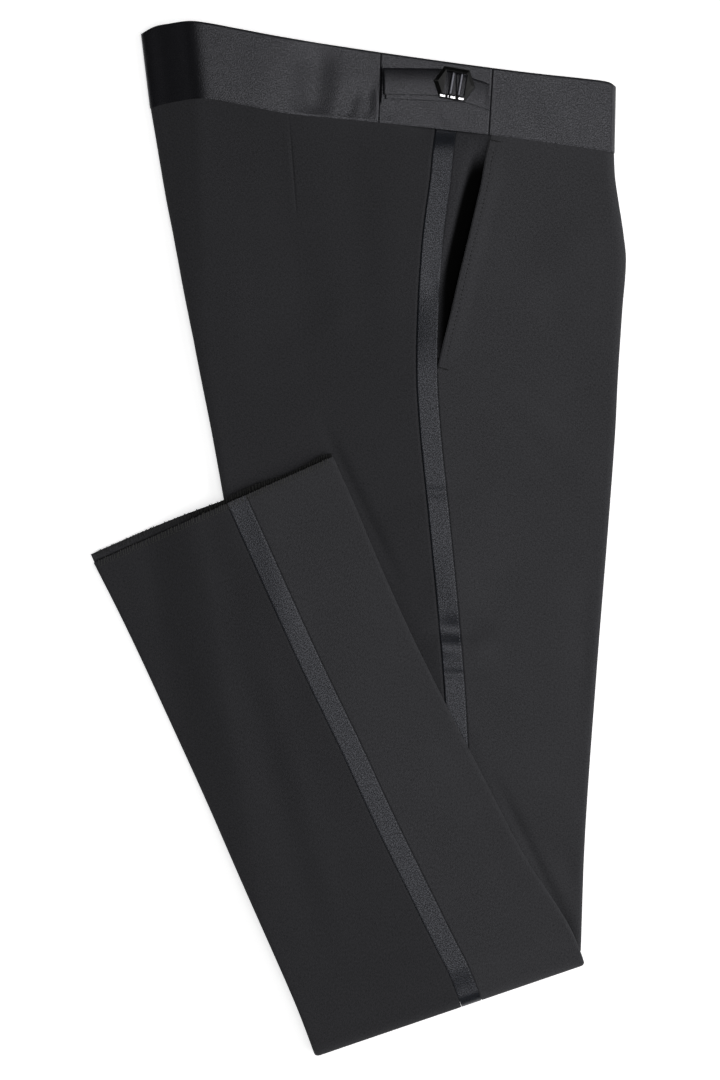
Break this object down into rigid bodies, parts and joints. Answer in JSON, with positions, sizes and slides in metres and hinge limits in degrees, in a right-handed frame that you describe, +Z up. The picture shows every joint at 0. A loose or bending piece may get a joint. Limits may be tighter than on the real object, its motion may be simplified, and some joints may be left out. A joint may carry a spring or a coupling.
{
  "type": "tuxedo trousers folded flat",
  "caption": "Satin-trimmed dress trousers folded on the leg creases and lying flat, with both lower legs turned up over the front.",
  "frame": {"origin": "middle of the footprint, on the surface that the trousers lie on", "axes": "+X from the back crease to the front crease, +Y from the turn of the legs up to the waist, +Z up out of the resting surface"},
  "size_m": [0.3857, 0.7453, 0.0197],
  "materials": {
    "wool": "fine plain-weave black wool, matt",
    "satin": "black satin weave, soft sheen",
    "inner_cloth": "black wool in shade, overlocked edges",
    "buckle": "black enamelled metal, glossy, bright bare lower edge"
  },
  "bodies": {
    "root": {"back_right": "wool", "front_right": "wool", "back_left": "wool", "front_left": "wool", "pocket_facing_right": "wool", "pocket_facing_left": "wool", "waistband_back_right": "satin", "waistband_side_right": "satin", "waistband_front_right": "satin", "waistband_back_left": "satin", "waistband_side_left": "satin", "waistband_front_left": "satin", "stripe_right": "satin", "stripe_left": "satin", "adjuster_strap_back": "satin", "adjuster_strap_tail": "satin", "adjuster_strap_front": "satin", "inner_layers": "inner_cloth", "adjuster_buckle": "buckle"}
  },
  "joints": []
}
